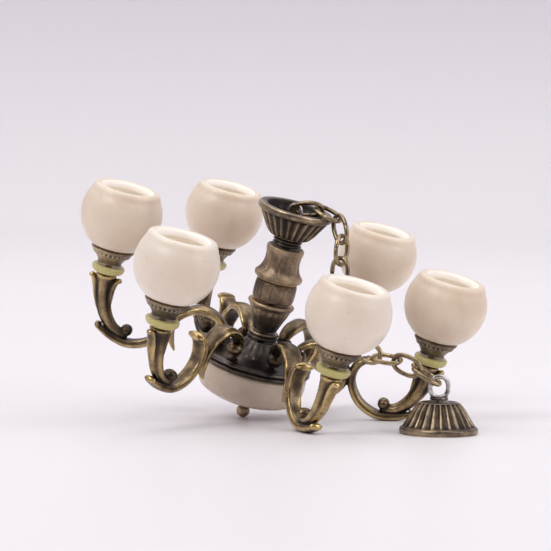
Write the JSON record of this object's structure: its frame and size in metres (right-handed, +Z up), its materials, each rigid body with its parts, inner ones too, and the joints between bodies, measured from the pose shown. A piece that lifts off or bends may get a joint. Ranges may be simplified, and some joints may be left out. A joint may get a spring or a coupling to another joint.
{
  "type": "miniature chandelier",
  "caption": "Dolls' house chandelier with scrolled cast arms, round ivory lamp globes, a turned column over a shallow dish, and a chain that ends in a fluted ceiling canopy.",
  "frame": {"origin": "middle of the bottom of the object's box, on the table it lies on", "axes": "+Z up from the table; the chandelier leans over towards +X and -Y, and the canopy lies rim down at +X, -Y"},
  "size_m": [0.069, 0.0652, 0.0408],
  "materials": {
    "antique_brass": "dark antique bronze plating, rubbed brassy on raised edges",
    "ivory_resin": "polished creamy ivory resin with faint peach patches",
    "pale_jade_resin": "slightly translucent pale yellow-green resin",
    "silver_wire": "bright drawn wire"
  },
  "bodies": {
    "chandelier": {"finial": "antique_brass", "hub_cap": "antique_brass", "base_ring": "antique_brass", "lower_baluster": "antique_brass", "fluted_band": "antique_brass", "upper_baluster": "antique_brass", "neck_ring": "antique_brass", "ivory_dish": "ivory_resin", "centre_rod": "antique_brass", "top_cup": "antique_brass", "hanging_eye": "silver_wire", "arm_right": "antique_brass", "washer_right": "pale_jade_resin", "lamp_cup_right": "antique_brass", "globe_right": "ivory_resin", "lamp_pin_right": "antique_brass", "arm_back_right": "antique_brass", "washer_back_right": "pale_jade_resin", "lamp_cup_back_right": "antique_brass", "globe_back_right": "ivory_resin", "lamp_pin_back_right": "antique_brass", "arm_back_left": "antique_brass", "washer_back_left": "pale_jade_resin", "lamp_cup_back_left": "antique_brass", "globe_back_left": "ivory_resin", "lamp_pin_back_left": "antique_brass", "arm_left": "antique_brass", "washer_left": "pale_jade_resin", "lamp_cup_left": "antique_brass", "globe_left": "ivory_resin", "lamp_pin_left": "antique_brass", "arm_front_left": "antique_brass", "washer_front_left": "pale_jade_resin", "lamp_cup_front_left": "antique_brass", "globe_front_left": "ivory_resin", "lamp_pin_front_left": "antique_brass", "arm_front_right": "antique_brass", "washer_front_right": "pale_jade_resin", "lamp_cup_front_right": "antique_brass", "globe_front_right": "ivory_resin", "lamp_pin_front_right": "antique_brass"},
    "chain_link_01": {"chain_link_01": "antique_brass"},
    "chain_link_02": {"chain_link_02": "antique_brass"},
    "chain_link_03": {"chain_link_03": "antique_brass"},
    "chain_link_04": {"chain_link_04": "antique_brass"},
    "chain_link_05": {"chain_link_05": "antique_brass"},
    "chain_link_06": {"chain_link_06": "antique_brass"},
    "chain_link_07": {"chain_link_07": "antique_brass"},
    "chain_link_08": {"chain_link_08": "antique_brass"},
    "chain_link_09": {"chain_link_09": "antique_brass"},
    "chain_link_10": {"chain_link_10": "antique_brass"},
    "chain_link_11": {"chain_link_11": "antique_brass"},
    "chain_link_12": {"chain_link_12": "antique_brass"},
    "canopy": {"canopy": "antique_brass", "canopy_loop": "silver_wire"}
  },
  "joints": [
    {"name": "chain_link_01_swing", "type": "hinge", "parent": "chandelier", "child": "chain_link_01", "pos_m": [0.00287, -0.00229, 0.03598], "axis": [-0.1626, -0.6845, -0.7106], "range_deg": [0, 30]},
    {"name": "chain_link_02_swing", "type": "hinge", "parent": "chain_link_01", "child": "chain_link_02", "pos_m": [0.00649, -0.00342, 0.03624], "axis": [0.2581, 0.6656, -0.7002], "range_deg": [-20, 0]},
    {"name": "chain_link_03_swing", "type": "hinge", "parent": "chain_link_02", "child": "chain_link_03", "pos_m": [0.00947, -0.00494, 0.03425], "axis": [0.5181, 0.8273, 0.2173], "range_deg": [-30, 20]},
    {"name": "chain_link_04_swing", "type": "hinge", "parent": "chain_link_03", "child": "chain_link_04", "pos_m": [0.01008, -0.00662, 0.03073], "axis": [-0.5408, 0.6817, -0.4928], "range_deg": [-15, 20]},
    {"name": "chain_link_05_swing", "type": "hinge", "parent": "chain_link_04", "child": "chain_link_05", "pos_m": [0.00949, -0.00733, 0.02698], "axis": [0.6004, 0.7638, -0.2369], "range_deg": [-36, 32]},
    {"name": "chain_link_06_swing", "type": "hinge", "parent": "chain_link_05", "child": "chain_link_06", "pos_m": [0.00944, -0.0077, 0.0232], "axis": [-0.8205, 0.5699, -0.0454], "range_deg": [-32, 30]},
    {"name": "chain_link_07_swing", "type": "hinge", "parent": "chain_link_06", "child": "chain_link_07", "pos_m": [0.00957, -0.00867, 0.01952], "axis": [0.444, 0.8733, -0.2006], "range_deg": [-33, 45]},
    {"name": "chain_link_08_swing", "type": "hinge", "parent": "chain_link_07", "child": "chain_link_08", "pos_m": [0.01069, -0.01002, 0.01612], "axis": [-0.8702, 0.3216, -0.3733], "range_deg": [-30, 36]},
    {"name": "chain_link_09_swing", "type": "hinge", "parent": "chain_link_08", "child": "chain_link_09", "pos_m": [0.01292, -0.01142, 0.01333], "axis": [0.3238, 0.9223, -0.211], "range_deg": [-18, 35]},
    {"name": "chain_link_10_swing", "type": "hinge", "parent": "chain_link_09", "child": "chain_link_10", "pos_m": [0.01608, -0.01298, 0.01178], "axis": [-0.4407, 0.1272, -0.8886], "range_deg": [-31, 45]},
    {"name": "chain_link_11_swing", "type": "hinge", "parent": "chain_link_10", "child": "chain_link_11", "pos_m": [0.0193, -0.01505, 0.01148], "axis": [0.5404, 0.799, 0.2639], "range_deg": [-45, 33]},
    {"name": "chain_link_12_swing", "type": "hinge", "parent": "chain_link_11", "child": "chain_link_12", "pos_m": [0.02258, -0.01643, 0.01011], "axis": [-0.2141, 0.3157, -0.9244], "range_deg": [-30, 36]},
    {"name": "canopy_swing", "type": "hinge", "parent": "chain_link_12", "child": "canopy", "pos_m": [0.02571, -0.01724, 0.00808], "axis": [0.3209, 0.9431, 0.0872], "range_deg": [-33, 30]}
  ]
}
